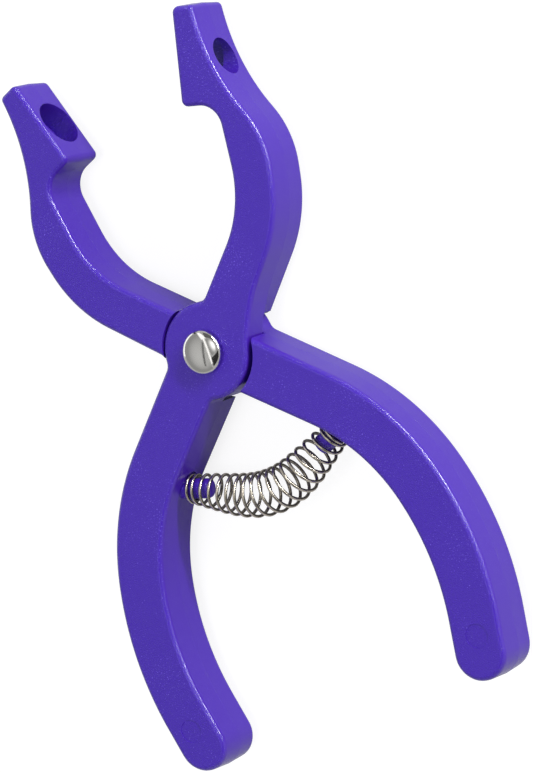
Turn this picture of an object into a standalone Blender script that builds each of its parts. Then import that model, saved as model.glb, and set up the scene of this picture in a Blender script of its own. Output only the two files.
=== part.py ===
# Safety eye pliers: two identical plastic levers that cross in a half-lap joint, held by a
# double-cap rivet and pushed open by a barrel-shaped spring on two moulded pegs.
# Units are metres, +Z is up. The pliers lie flat: +Y runs along the tool towards the jaws,
# +X across it, and the pivot axis stands upright. The origin is under the middle of the
# bounding box, at the level of the lowest point.
#
# A lever is drawn as it lies when the pliers are closed, with the pivot at (0, 0), the jaw
# above, its pad facing the centre line, and the handle below on the left. It is then turned
# open by half the opening angle. The second lever is the same moulding turned over.

import math

import bmesh
import bpy
from mathutils import Matrix, Vector

# Jaw. The bow is how far the corners of its back stand out from the centre line, before
# they are rounded.
JAW_LENGTH = 0.0774
JAW_BOW = 0.0228
PAD_LENGTH = 0.0227
PAD_SETBACK = 0.0004
TIP_WIDTH = 0.0055
TIP_CORNER_RADIUS = 0.0014
PAD_CORNER_RADIUS = 0.0016

# Handle. Its length and its bow are those of its outer corners before they are rounded.
HANDLE_LENGTH = 0.1000
HANDLE_BOW = 0.0317
HANDLE_WIDTH = 0.0128

# Hub and half-lap joint
HUB_RADIUS = 0.0109
HUB_FILLET = 0.0026
LEVER_THICKNESS = 0.0135
EDGE_RADIUS = 0.0011
LAP_GAP = 0.0003
LAP_CLEARANCE = 0.0010
LAP_SHIFT = 0.00065

# Stepped eye hole through each jaw, square to the pad
EYE_FROM_TIP = 0.0122
EYE_SEAT_DEPTH = 0.0060
EYE_SEAT_SIDE_WALL = 0.00125
EYE_LEDGE = 0.0014

# Spring
WIRE_RADIUS = 0.000375
SPRING_END_RADIUS = 0.0031
SPRING_MIDDLE_RADIUS = 0.00505
SPRING_SAG = 0.00495
SPRING_LEAN = math.radians(7.0)
SPRING_REACH = 0.0060
END_CURL_PITCH = 0.0013
SPRING_CURLS = 19
CURL_POINTS = 10

# Peg that the spring is slipped over, and the round seat cut flat about it
PEG_FROM_PIVOT = 0.0324
PEG_RADIUS = 0.00233
PEG_LENGTH = 0.0067
PEG_CHAMFER = 0.0006
PEG_ROOT = 0.0030
SEAT_RISE = 0.0010
SEAT_CLEARANCE = 0.0004

# Double-cap rivet
CAP_RADIUS = 0.0050
CAP_UNDER_RADIUS = 0.0043
CAP_LIP_RADIUS = 0.0036
CAP_HEIGHT = 0.0028
CAP_RIM_HEIGHT = 0.0012
CAP_WALL = 0.0004
FLANGE_RADIUS = 0.0042
FLANGE_THICKNESS = 0.0004
POST_RADIUS = 0.0013
TUBE_WALL = 0.0005
POST_CLEARANCE = 0.0003
BORE_CLEARANCE = 0.0003

# Opening of the whole tool, and the gap between pieces that touch
OPENING = math.radians(34.4)
TOUCH_GAP = 0.0003

# Fineness of the facets, and one overrun for every cut
CHORD_ERROR = 0.00003
TURN_STEPS = 40
HOLE_STEPS = 32
CAP_STEPS = 7
EDGE_STEPS = 2
PATH_STEPS = 40
OVERRUN = 0.0100
WELD_DISTANCE = 0.00001
SMOOTH_ANGLE = math.radians(30.0)

# Where the arms leave the hub, as angles round the pivot
JAW_OUTER_ANGLE = math.radians(28.5)
JAW_INNER_ANGLE = math.radians(87.7)
HANDLE_OUTER_ANGLE = math.radians(196.8)
LAP_SHIFT_ANGLE = math.radians(222.0)

# Corners of the outlines: shares of the bow across and of the length along
JAW_BOW_SHARES = (1.0, 0.362)
JAW_SHOULDER_SHARES = (0.950, 0.610)
JAW_BACK_SHARES = (0.389, 0.813)
JAW_HEEL_SHARE = 0.412
JAW_THROAT_SHARES = (0.564, 0.410)
HANDLE_UPPER_SHARES = (1.0, 0.375)
HANDLE_LOWER_SHARES = (0.937, 0.729)
HANDLE_END_SHARES = (0.473, 1.0)

# How much of a side the rounding of a corner takes: of the side from the bow to the shoulder,
# from the back to the tip, along the heel, up the throat, between the handle's two outer
# corners, and across the handle's end
JAW_BOW_ROUND_SHARE = 0.515
JAW_SHOULDER_ROUND_SHARE = 0.382
JAW_BACK_ROUND_SHARE = 0.800
JAW_HEEL_ROUND_SHARE = 0.517
JAW_THROAT_ROUND_SHARE = 0.411
HANDLE_UPPER_ROUND_SHARE = 0.511
HANDLE_LOWER_ROUND_SHARE = 0.474
END_OUTER_ROUND_SHARE = 0.508
END_INNER_ROUND_SHARE = 0.484

VIOLET = (0.125, 0.058, 0.520, 1.0)
STEEL = (0.72, 0.71, 0.68, 1.0)
CHROME = (0.86, 0.86, 0.85, 1.0)

# Worked out from the sizes above
EYE_SEAT_RADIUS = LEVER_THICKNESS / 2 - EYE_SEAT_SIDE_WALL
EYE_HOLE_RADIUS = EYE_SEAT_RADIUS - EYE_LEDGE
SEAT_RADIUS = SPRING_END_RADIUS + WIRE_RADIUS + SEAT_CLEARANCE
TUBE_BORE = POST_RADIUS + POST_CLEARANCE
TUBE_RADIUS = TUBE_BORE + TUBE_WALL
RIVET_BORE = TUBE_RADIUS + BORE_CLEARANCE
FACE = LEVER_THICKNESS / 2
LIP_TOP = TOUCH_GAP + CAP_WALL
FLANGE_BASE = LIP_TOP + TOUCH_GAP


# Scene


def clear_scene():
    for item in list(bpy.data.objects):
        bpy.data.objects.remove(item, do_unlink=True)


def new_collection(name):
    collection = bpy.data.collections.new(name)
    bpy.context.scene.collection.children.link(collection)
    return collection


def make_material(name, color, roughness, metallic):
    material = bpy.data.materials.new(name)
    material.use_nodes = True
    shader = material.node_tree.nodes["Principled BSDF"]
    shader.inputs["Base Color"].default_value = color
    shader.inputs["Roughness"].default_value = roughness
    shader.inputs["Metallic"].default_value = metallic
    material.diffuse_color = color
    return material


def add_object(name, data, collection, parent=None, matrix=None):
    item = bpy.data.objects.new(name, data)
    collection.objects.link(item)
    item.parent = parent
    if matrix is not None:
        item.matrix_local = matrix
    return item


# Outline geometry, all in the flat frame of a closed lever


def around(radius, angle):
    return Vector((radius * math.cos(angle), radius * math.sin(angle)))


def left_of(direction):
    return Vector((-direction.y, direction.x))


def turn_between(into, out):
    return math.atan2(into.x * out.y - into.y * out.x, into.dot(out))


def arc(centre, radius, start, sweep):
    # Points of an arc whose chords leave it by no more than CHORD_ERROR
    step = 2 * math.acos(1 - min(1, CHORD_ERROR / radius))
    count = max(2, math.ceil(abs(sweep) / step))
    return [centre + around(radius, start + sweep * i / count) for i in range(count + 1)]


def rounded_corner(before, corner, after, radius):
    into = (corner - before).normalized()
    out = (after - corner).normalized()
    turn = turn_between(into, out)
    start = corner - into * radius * math.tan(abs(turn) / 2)
    centre = start + left_of(into) * math.copysign(radius, turn)
    spoke = start - centre
    return arc(centre, radius, math.atan2(spoke.y, spoke.x), turn)


def inset_corner(before, corner, after, distance):
    # The same corner on a line that runs beside this one, on its left
    into = (corner - before).normalized()
    turn = turn_between(into, (after - corner).normalized())
    return corner + left_of(into) * distance - into * distance * math.tan(turn / 2)


def radius_of(before, corner, after, reach):
    # The radius of a rounding that starts and ends at a given reach from its corner
    turn = turn_between((corner - before).normalized(), (after - corner).normalized())
    return reach / math.tan(abs(turn) / 2)


def hub_fillet(far_point, hub_point, free_side):
    # The arc from a straight arm wall to the hub's circle. The wall runs from far_point to
    # hub_point, and free_side is 1 where the air lies on its left and -1 on its right.
    along = (hub_point - far_point).normalized()
    normal = left_of(along) * free_side
    reach = HUB_RADIUS + HUB_FILLET
    beside = hub_point + normal * HUB_FILLET
    ahead = beside.dot(along)
    back = ahead + math.sqrt(ahead * ahead - beside.length_squared + reach * reach)
    centre = beside - along * back
    on_wall = -normal
    on_hub = -centre.normalized()
    start = math.atan2(on_wall.y, on_wall.x)
    return arc(centre, HUB_FILLET, start, turn_between(on_wall, on_hub))


def corner_at(shares, across, along):
    return Vector((across * shares[0], along * shares[1]))


def jaw_corners():
    # Up the jaw's back, over the tip, down the pad and down the throat
    bow = corner_at(JAW_BOW_SHARES, JAW_BOW, JAW_LENGTH)
    shoulder = corner_at(JAW_SHOULDER_SHARES, JAW_BOW, JAW_LENGTH)
    back = corner_at(JAW_BACK_SHARES, JAW_BOW, JAW_LENGTH)
    tip = Vector((PAD_SETBACK + TIP_WIDTH, JAW_LENGTH))
    pad_top = Vector((PAD_SETBACK, JAW_LENGTH))
    pad_foot = Vector((PAD_SETBACK, JAW_LENGTH - PAD_LENGTH))
    heel = Vector((JAW_BOW * JAW_HEEL_SHARE, JAW_LENGTH - PAD_LENGTH))
    throat = corner_at(JAW_THROAT_SHARES, JAW_BOW, JAW_LENGTH)
    foot = around(HUB_RADIUS, JAW_OUTER_ANGLE)
    root = around(HUB_RADIUS, JAW_INNER_ANGLE)
    upper_side = (shoulder - bow).length
    heel_reach = (heel - pad_foot).length * JAW_HEEL_ROUND_SHARE
    throat_reach = (throat - heel).length * JAW_THROAT_ROUND_SHARE
    back_reach = (tip - back).length * JAW_BACK_ROUND_SHARE
    return [
        (bow, radius_of(foot, bow, shoulder, upper_side * JAW_BOW_ROUND_SHARE)),
        (shoulder, radius_of(bow, shoulder, back, upper_side * JAW_SHOULDER_ROUND_SHARE)),
        (back, radius_of(shoulder, back, tip, back_reach)),
        (tip, TIP_CORNER_RADIUS),
        (pad_top, PAD_CORNER_RADIUS),
        (pad_foot, PAD_CORNER_RADIUS),
        (heel, radius_of(pad_foot, heel, throat, heel_reach)),
        (throat, radius_of(heel, throat, root, throat_reach)),
    ]


def handle_corners():
    # Down the outer side, round the end, and up the inner side, which runs beside the outer
    # one at the handle's width
    foot = around(HUB_RADIUS, HANDLE_OUTER_ANGLE)
    upper = corner_at(HANDLE_UPPER_SHARES, -HANDLE_BOW, -HANDLE_LENGTH)
    lower = corner_at(HANDLE_LOWER_SHARES, -HANDLE_BOW, -HANDLE_LENGTH)
    end = corner_at(HANDLE_END_SHARES, -HANDLE_BOW, -HANDLE_LENGTH)
    inner_end = end + left_of((end - lower).normalized()) * HANDLE_WIDTH
    inner_lower = inset_corner(upper, lower, end, HANDLE_WIDTH)
    inner_upper = inset_corner(foot, upper, lower, HANDLE_WIDTH)
    side = (lower - upper).length
    upper_radius = radius_of(foot, upper, lower, side * HANDLE_UPPER_ROUND_SHARE)
    lower_radius = radius_of(upper, lower, end, side * HANDLE_LOWER_ROUND_SHARE)
    return [
        (upper, upper_radius),
        (lower, lower_radius),
        (end, HANDLE_WIDTH * END_OUTER_ROUND_SHARE),
        (inner_end, HANDLE_WIDTH * END_INNER_ROUND_SHARE),
        (inner_lower, lower_radius - HANDLE_WIDTH),
        (inner_upper, upper_radius - HANDLE_WIDTH),
    ]


def arm_outline(corners, foot, inner_foot):
    # A fillet off the hub, the rounded corners, and a fillet back on to it. The two feet are
    # points that the arm's outer and inner walls head for.
    path = [foot] + [corner for corner, radius in corners] + [inner_foot]
    points = hub_fillet(path[1], path[0], 1)
    points.reverse()
    for index, (corner, radius) in enumerate(corners, start=1):
        points += rounded_corner(path[index - 1], corner, path[index + 1], radius)
    return points + hub_fillet(path[-2], path[-1], -1)


def hub_arc(start_point, end_point):
    # The free part of the hub's circle between two arms, without its ends
    start = math.atan2(start_point.y, start_point.x)
    end = math.atan2(end_point.y, end_point.x)
    sweep = (end - start) % (2 * math.pi)
    return arc(Vector((0, 0)), HUB_RADIUS, start, sweep)[1:-1]


def lever_outline():
    jaw_foot = around(HUB_RADIUS, JAW_OUTER_ANGLE)
    jaw = arm_outline(jaw_corners(), jaw_foot, around(HUB_RADIUS, JAW_INNER_ANGLE))
    corners = handle_corners()
    foot = around(HUB_RADIUS, HANDLE_OUTER_ANGLE)
    down = (corners[0][0] - foot).normalized()
    handle = arm_outline(corners, foot, foot + left_of(down) * HANDLE_WIDTH)
    return jaw + hub_arc(jaw[-1], handle[0]) + handle + hub_arc(handle[-1], jaw[0])


def inner_wall_at(outline, level):
    # Where the handle's inner side crosses a level below the pivot
    crossings = []
    for start, end in zip(outline, outline[1:] + outline[:1]):
        if (start.y - level) * (end.y - level) <= 0 and start.y != end.y:
            share = (level - start.y) / (end.y - start.y)
            crossings.append(start.x + share * (end.x - start.x))
    return max(crossings)


# Cutters and helpers for solids


def add_cylinder(name, radius, start, end, collection, steps, chamfer=0.0):
    # A cylinder from one point to another, with the rim at its far end chamfered
    axis = end - start
    mesh = bpy.data.meshes.new(name)
    shape = bmesh.new()
    bmesh.ops.create_cone(
        shape, cap_ends=True, segments=steps, radius1=radius, radius2=radius, depth=axis.length
    )
    bmesh.ops.translate(shape, verts=shape.verts, vec=Vector((0, 0, axis.length / 2)))
    if chamfer:
        rim = [e for e in shape.edges if min(v.co.z for v in e.verts) > axis.length / 2]
        bmesh.ops.bevel(shape, geom=rim, offset=chamfer, segments=1, profile=0.5, affect="EDGES")
    turn = axis.to_track_quat("Z", "Y").to_matrix().to_4x4()
    bmesh.ops.transform(shape, matrix=Matrix.Translation(start) @ turn, verts=shape.verts)
    shape.to_mesh(mesh)
    shape.free()
    cylinder = add_object(name, mesh, collection)
    cylinder.hide_render = True
    cylinder.display_type = "WIRE"
    return cylinder


def add_boolean(item, cutter, operation):
    modifier = item.modifiers.new(cutter.name, "BOOLEAN")
    modifier.operation = operation
    modifier.object = cutter
    modifier.solver = "EXACT"


def mesh_of(item, name):
    # The mesh that an object shows with its modifiers, or that a curve makes, welded
    graph = bpy.context.evaluated_depsgraph_get()
    mesh = bpy.data.meshes.new_from_object(item.evaluated_get(graph))
    mesh.name = name
    shape = bmesh.new()
    shape.from_mesh(mesh)
    bmesh.ops.remove_doubles(shape, verts=shape.verts, dist=WELD_DISTANCE)
    bmesh.ops.recalc_face_normals(shape, faces=shape.faces)
    shape.to_mesh(mesh)
    shape.free()
    mesh.shade_smooth()
    mesh.set_sharp_from_angle(angle=SMOOTH_ANGLE)
    return mesh


def add_turned(name, profile, material, collection, parent):
    # A turned piece: its profile, from the axis round to the axis, with a Screw modifier
    mesh = bpy.data.meshes.new(name)
    shape = bmesh.new()
    verts = [shape.verts.new((radius, 0, height)) for radius, height in profile]
    for start, end in zip(verts, verts[1:]):
        shape.edges.new((start, end))
    shape.to_mesh(mesh)
    shape.free()
    mesh.materials.append(material)
    piece = add_object(name, mesh, collection, parent)
    screw = piece.modifiers.new("turn", "SCREW")
    screw.steps = TURN_STEPS
    screw.render_steps = TURN_STEPS
    screw.use_merge_vertices = True
    screw.merge_threshold = WELD_DISTANCE
    screw.use_smooth_shade = True
    return piece


# Levers


def lever_blank(outline, collection):
    # The flat outline with rounded edges, as a filled curve with a round bevel
    curve = bpy.data.curves.new("lever_blank", "CURVE")
    curve.dimensions = "2D"
    curve.fill_mode = "BOTH"
    curve.extrude = LEVER_THICKNESS / 2 - EDGE_RADIUS
    curve.bevel_depth = EDGE_RADIUS
    curve.bevel_resolution = EDGE_STEPS
    curve.offset = -EDGE_RADIUS
    spline = curve.splines.new("POLY")
    spline.points.add(len(outline) - 1)
    for point, place in zip(spline.points, outline):
        point.co = (place.x, place.y, 0, 1)
    spline.use_cyclic_u = True
    guide = add_object("lever_outline", curve, collection)
    mesh = mesh_of(guide, "lever_blank")
    bpy.data.objects.remove(guide, do_unlink=True)
    return mesh


def add_eye_cutters(blank, cutters):
    # The seat opens at the pad, and a narrower hole goes on through the jaw's back
    level = JAW_LENGTH - EYE_FROM_TIP
    front = Vector((PAD_SETBACK - OVERRUN, level, 0))
    ledge = Vector((PAD_SETBACK + EYE_SEAT_DEPTH, level, 0))
    back = Vector((JAW_BOW + OVERRUN, level, 0))
    seat = add_cylinder("eye_seat_cutter", EYE_SEAT_RADIUS, front, ledge, cutters, HOLE_STEPS)
    hole = add_cylinder("eye_hole_cutter", EYE_HOLE_RADIUS, front, back, cutters, HOLE_STEPS)
    add_boolean(blank, seat, "DIFFERENCE")
    add_boolean(blank, hole, "DIFFERENCE")


def add_pivot_cutters(blank, cutters):
    # The other lever's hub fills the back half of the thickness round the pivot, nearer to
    # the jaw's end of its recess than to the handle's
    below = -FACE - OVERRUN
    shift = around(LAP_SHIFT, LAP_SHIFT_ANGLE)
    lap = add_cylinder(
        "lap_cutter",
        HUB_RADIUS + LAP_CLEARANCE,
        Vector((shift.x, shift.y, below)),
        Vector((shift.x, shift.y, LAP_GAP / 2)),
        cutters,
        TURN_STEPS,
    )
    bore = add_cylinder(
        "rivet_bore_cutter",
        RIVET_BORE,
        Vector((0, 0, below)),
        Vector((0, 0, -below)),
        cutters,
        HOLE_STEPS,
    )
    add_boolean(blank, lap, "DIFFERENCE")
    add_boolean(blank, bore, "DIFFERENCE")


def add_peg(blank, wall, cutters):
    # The seat is faced flat first, then the peg stands up from it
    level = -PEG_FROM_PIVOT
    seat = add_cylinder(
        "spring_seat_cutter",
        SEAT_RADIUS,
        Vector((wall + SEAT_RISE, level, 0)),
        Vector((wall + OVERRUN, level, 0)),
        cutters,
        HOLE_STEPS,
    )
    peg = add_cylinder(
        "peg",
        PEG_RADIUS,
        Vector((wall - PEG_ROOT, level, 0)),
        Vector((wall + PEG_LENGTH, level, 0)),
        cutters,
        HOLE_STEPS,
        PEG_CHAMFER,
    )
    add_boolean(blank, seat, "DIFFERENCE")
    add_boolean(blank, peg, "UNION")


def lever_mesh(outline, wall, cutters):
    blank = add_object("lever_blank", lever_blank(outline, cutters), cutters)
    add_pivot_cutters(blank, cutters)
    add_eye_cutters(blank, cutters)
    add_peg(blank, wall, cutters)
    mesh = mesh_of(blank, "lever")
    bpy.data.objects.remove(blank, do_unlink=True)
    return mesh


def add_levers(outline, wall, pivot, parts, cutters):
    mesh = lever_mesh(outline, wall, cutters)
    open_front = Matrix.Rotation(-OPENING / 2, 4, "Z")
    turn_over = Matrix.Rotation(math.pi, 4, "Y")
    for name, matrix in (("front_lever", open_front), ("back_lever", turn_over @ open_front)):
        own_mesh = mesh.copy()
        own_mesh.materials.clear()
        own_mesh.materials.append(make_material(name, VIOLET, 0.42, 0.0))
        add_object(name, own_mesh, parts, pivot, matrix)


# Rivet


def quarter(centre, across, up, start, steps):
    # A quarter of an ellipse round a centre, clockwise from a start angle
    points = []
    for step in range(steps + 1):
        angle = start - math.pi / 2 * step / steps
        points.append((centre[0] + across * math.cos(angle), centre[1] + up * math.sin(angle)))
    return points


def cap_profile():
    # Over the dome, in under the rim to the lip, and back inside to the axis
    top = CAP_HEIGHT - CAP_RIM_HEIGHT
    curl = CAP_RADIUS - CAP_UNDER_RADIUS
    outer = quarter((0, CAP_RIM_HEIGHT), CAP_RADIUS, top, math.pi / 2, CAP_STEPS)
    under = quarter(
        (CAP_UNDER_RADIUS, CAP_RIM_HEIGHT), curl, CAP_RIM_HEIGHT - TOUCH_GAP, 0, EDGE_STEPS
    )
    lip = [(CAP_LIP_RADIUS, TOUCH_GAP), (CAP_LIP_RADIUS, LIP_TOP)]
    inner_curl = quarter(
        (CAP_UNDER_RADIUS - CAP_WALL, CAP_RIM_HEIGHT), curl, CAP_RIM_HEIGHT - LIP_TOP, 0, EDGE_STEPS
    )
    inner = quarter((0, CAP_RIM_HEIGHT), CAP_RADIUS - CAP_WALL, top - CAP_WALL, math.pi / 2, CAP_STEPS)
    inner.reverse()
    inner_curl.reverse()
    return outer + under[1:] + lip + inner_curl + inner[1:]


def post_profile():
    flange = FACE + FLANGE_BASE
    tip = -(FACE + FLANGE_BASE - TOUCH_GAP)
    return [
        (0, flange + FLANGE_THICKNESS),
        (FLANGE_RADIUS, flange + FLANGE_THICKNESS),
        (FLANGE_RADIUS, flange),
        (POST_RADIUS, flange),
        (POST_RADIUS, tip),
        (0, tip),
    ]


def socket_profile():
    flange = FACE + FLANGE_BASE
    return [
        (0, -flange),
        (TUBE_BORE, -flange),
        (TUBE_BORE, flange - TOUCH_GAP),
        (TUBE_RADIUS, flange - TOUCH_GAP),
        (TUBE_RADIUS, -flange),
        (FLANGE_RADIUS, -flange),
        (FLANGE_RADIUS, -flange - FLANGE_THICKNESS),
        (0, -flange - FLANGE_THICKNESS),
    ]


def add_rivet(pivot, parts):
    turn_over = Matrix.Rotation(math.pi, 4, "Y")
    for name, flip in (("front_rivet_cap", Matrix()), ("back_rivet_cap", turn_over)):
        cap = add_turned(name, cap_profile(), make_material(name, CHROME, 0.12, 1.0), parts, pivot)
        cap.matrix_local = flip @ Matrix.Translation(Vector((0, 0, FACE)))
    add_turned("rivet_post", post_profile(), make_material("rivet_post", STEEL, 0.35, 1.0), parts, pivot)
    add_turned(
        "rivet_socket", socket_profile(), make_material("rivet_socket", STEEL, 0.35, 1.0), parts, pivot
    )


# Spring


def bezier(points, share):
    # One point of a cubic curve
    while len(points) > 1:
        points = [a.lerp(b, share) for a, b in zip(points, points[1:])]
    return points[0]


def spring_line(wall):
    # The left half of the spring's centre line, from its first curl to the middle: straight
    # over the peg, on which it leans a little, then one smooth sweep
    first = SEAT_RISE + TOUCH_GAP + WIRE_RADIUS
    start = Matrix.Rotation(-OPENING / 2, 2) @ Vector((wall + first, -PEG_FROM_PIVOT))
    along = Matrix.Rotation(-OPENING / 2 - SPRING_LEAN, 2) @ Vector((1, 0))
    tip = start + along * (PEG_LENGTH - first)
    middle = Vector((0, tip.y - SPRING_SAG))
    sweep = [tip, tip + along * SPRING_REACH, middle - Vector((SPRING_REACH, 0)), middle]
    return [start] + [bezier(sweep, step / PATH_STEPS) for step in range(PATH_STEPS + 1)]


def length_marks(line):
    marks = [0.0]
    for start, end in zip(line, line[1:]):
        marks.append(marks[-1] + (end - start).length)
    return marks


def at_length(line, marks, distance):
    # The point at a distance along a line, and the direction there
    for index in range(1, len(line)):
        if distance <= marks[index] or index == len(line) - 1:
            step = line[index] - line[index - 1]
            share = (distance - marks[index - 1]) / (marks[index] - marks[index - 1])
            return line[index - 1] + step * share, step.normalized()


def distance_at_turn(turn, length):
    # Closely wound for the first and last curl, evenly between
    open_pitch = (length - 2 * END_CURL_PITCH) / (SPRING_CURLS - 2)
    if turn < 1:
        return turn * END_CURL_PITCH
    if turn > SPRING_CURLS - 1:
        return length - (SPRING_CURLS - turn) * END_CURL_PITCH
    return END_CURL_PITCH + (turn - 1) * open_pitch


def curl_radius(share):
    # Barrel shape: slim at the ends, swelling to the middle
    swell = math.sin(math.pi * share)
    return SPRING_END_RADIUS + (SPRING_MIDDLE_RADIUS - SPRING_END_RADIUS) * swell


def spring_points(wall):
    half = spring_line(wall)
    line = half + [Vector((-point.x, point.y)) for point in reversed(half[:-1])]
    marks = length_marks(line)
    points = []
    for step in range(SPRING_CURLS * CURL_POINTS + 1):
        turn = step / CURL_POINTS
        distance = distance_at_turn(turn, marks[-1])
        centre, direction = at_length(line, marks, distance)
        radius = curl_radius(distance / marks[-1])
        side = left_of(direction) * radius * math.cos(2 * math.pi * turn)
        points.append(Vector((centre.x + side.x, centre.y + side.y, radius * math.sin(2 * math.pi * turn))))
    return points


def least_gap(points):
    # The least gap between parts of the wire that are half a curl or more apart
    skip = CURL_POINTS // 2
    nearest = min(
        (points[a] - points[b]).length
        for a in range(len(points))
        for b in range(a + skip, min(a + 2 * CURL_POINTS, len(points)))
    )
    return nearest - 2 * WIRE_RADIUS


def add_spring(wall, pivot, parts, guides):
    points = spring_points(wall)
    print("least gap of the spring to itself, mm:", round(least_gap(points) * 1000, 3))
    curve = bpy.data.curves.new("return_spring", "CURVE")
    curve.dimensions = "3D"
    curve.bevel_depth = WIRE_RADIUS
    curve.bevel_resolution = 1
    curve.use_fill_caps = True
    spline = curve.splines.new("POLY")
    spline.points.add(len(points) - 1)
    for point, place in zip(spline.points, points):
        point.co = (place.x, place.y, place.z, 1)
    guide = add_object("spring_wire", curve, guides)
    mesh = mesh_of(guide, "return_spring")
    bpy.data.objects.remove(guide, do_unlink=True)
    mesh.materials.append(make_material("return_spring", STEEL, 0.25, 1.0))
    add_object("return_spring", mesh, parts, pivot)


def add_pivot(outline, parts):
    # An empty on the pivot axis, placed so that the open pliers stand centred on the origin
    open_turn = Matrix.Rotation(-OPENING / 2, 2)
    levels = [(open_turn @ point).y for point in outline]
    pivot = add_object("pivot", None, parts)
    pivot.location = (0, -(max(levels) + min(levels)) / 2, FACE + CAP_HEIGHT)
    print("pivot at, mm:", [round(value * 1000, 3) for value in pivot.location])
    return pivot


def main():
    clear_scene()
    parts = new_collection("safety_eye_pliers")
    cutters = new_collection("cutters")
    outline = lever_outline()
    wall = inner_wall_at(outline, -PEG_FROM_PIVOT)
    pivot = add_pivot(outline, parts)
    add_levers(outline, wall, pivot, parts, cutters)
    add_rivet(pivot, parts)
    add_spring(wall, pivot, parts, cutters)


main()
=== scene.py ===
# %% [markdown]
# Safety eye pliers, step by step.
#
# The pliers press a toy's safety eye and its washer together. Two plastic levers cross in a
# half-lap joint on a polished double-cap rivet, and a barrel-shaped spring pushes the handles
# apart. The solids of the object come in as a fixed frame, and this lesson dresses them: fine
# mouldings with draft and a grained face, spun rivet caps, and a wound wire. The rivet's post
# and socket sit hidden in the joint, so they keep their solids and only get a finish.

import math

import bmesh
import bpy
from mathutils import Matrix, Vector
from mathutils.kdtree import KDTree


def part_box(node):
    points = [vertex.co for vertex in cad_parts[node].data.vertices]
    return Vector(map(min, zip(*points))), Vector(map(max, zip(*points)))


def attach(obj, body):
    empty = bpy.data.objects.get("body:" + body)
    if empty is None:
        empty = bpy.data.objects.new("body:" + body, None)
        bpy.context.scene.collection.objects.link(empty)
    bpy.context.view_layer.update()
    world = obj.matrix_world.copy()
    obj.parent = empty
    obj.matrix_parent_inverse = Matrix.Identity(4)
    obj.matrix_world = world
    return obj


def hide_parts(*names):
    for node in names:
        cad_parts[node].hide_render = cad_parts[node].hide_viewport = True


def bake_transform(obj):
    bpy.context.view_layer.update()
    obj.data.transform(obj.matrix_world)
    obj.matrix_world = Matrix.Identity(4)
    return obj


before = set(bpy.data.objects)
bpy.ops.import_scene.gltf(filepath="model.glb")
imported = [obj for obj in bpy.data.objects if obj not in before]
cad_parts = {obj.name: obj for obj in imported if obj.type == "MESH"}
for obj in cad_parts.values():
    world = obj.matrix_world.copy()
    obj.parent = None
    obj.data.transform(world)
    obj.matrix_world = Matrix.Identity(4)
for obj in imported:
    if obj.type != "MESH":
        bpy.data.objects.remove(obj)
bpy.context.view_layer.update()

# %% [markdown]
# Everything is placed from the pivot axis, which the frame gives as the middle of the front
# cap, and from the two outer faces of the levers. The tool could be drawn open, as it lies, but
# both levers come from one mould. So the lever is drawn once, closed and flat, with the pivot at
# (0, 0), turned open by half the opening angle, and turned over for the second lever.

# %% Where the pivot stands


def in_mm(lengths):
    return [round(length * 1000, 2) for length in lengths]


cap_low, cap_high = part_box("front_rivet_cap")
lever_low, lever_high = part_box("front_lever")
THICKNESS = lever_high[2] - lever_low[2]
FACE = THICKNESS / 2
PIVOT = Vector((0, (cap_low[1] + cap_high[1]) / 2, (lever_low[2] + lever_high[2]) / 2))
HALF_OPEN = math.radians(17.2)
OPENED = Matrix.Rotation(-HALF_OPEN, 4, "Z")
TURNED_OVER = Matrix.Rotation(math.pi, 4, "Y")
FRONT_PLACE = Matrix.Translation(PIVOT) @ OPENED
BACK_PLACE = Matrix.Translation(PIVOT) @ TURNED_OVER @ OPENED
print("pivot at", in_mm(PIVOT), "mm, thickness of the levers", in_mm([THICKNESS]), "mm")

# %% [markdown]
# The camera looks down on the lying tool from its right side, turned so that the jaws point
# up and a little to the left. It could be aimed by eye, but its place and its three directions
# were fitted to the tool's outline in the photograph, so they stand here as measured. A long
# lens keeps the levers nearly parallel in the picture.

# %% Camera
LENS = 98.21
SENSOR_HEIGHT = 24.0
VIEW_END = 10.0
CAMERA_RIGHT = Vector((0.785799, -0.351258, -0.509056))
CAMERA_UP = Vector((0.316195, 0.935538, -0.157447))
CAMERA_BACK = Vector((0.531546, -0.037240, 0.846210))
CAMERA_SPOT = Vector((0.385594, -0.030372, 0.610912))


def add_object(name, data):
    thing = bpy.data.objects.new(name, data)
    bpy.context.scene.collection.objects.link(thing)
    return thing


camera_data = bpy.data.cameras.new("camera")
camera_data.sensor_fit = "VERTICAL"
camera_data.sensor_height = SENSOR_HEIGHT
camera_data.lens = LENS
camera_data.clip_end = VIEW_END
camera = add_object("camera", camera_data)
camera_place = Matrix((CAMERA_RIGHT, CAMERA_UP, CAMERA_BACK)).transposed().to_4x4()
camera_place.translation = CAMERA_SPOT
camera.matrix_world = camera_place
bpy.context.scene.camera = camera
print("camera:", LENS, "mm lens,", round((CAMERA_SPOT - PIVOT).length, 3), "m from the pivot")

# %% [markdown]
# A piece's mesh is finished in one helper: doubled points are merged, its normals are made to
# point outwards, and edges sharper than an angle are kept sharp, so that flat faces stay flat
# and round ones look round. Its place is in the mesh itself, and the object stays at the origin.

# %% Helpers for pieces
WELD = 1e-6
SHARP_ANGLE = 35.0


def new_piece(name, shape, material, sharp_angle=SHARP_ANGLE):
    bmesh.ops.remove_doubles(shape, verts=shape.verts, dist=WELD)
    bmesh.ops.recalc_face_normals(shape, faces=shape.faces)
    mesh = bpy.data.meshes.new(name)
    shape.to_mesh(mesh)
    shape.free()
    mesh.materials.append(material)
    mesh.shade_smooth()
    mesh.set_sharp_from_angle(angle=math.radians(sharp_angle))
    return add_object(name, mesh)


def evaluated_mesh(thing):
    graph = bpy.context.evaluated_depsgraph_get()
    return bpy.data.meshes.new_from_object(thing.evaluated_get(graph))


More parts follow.
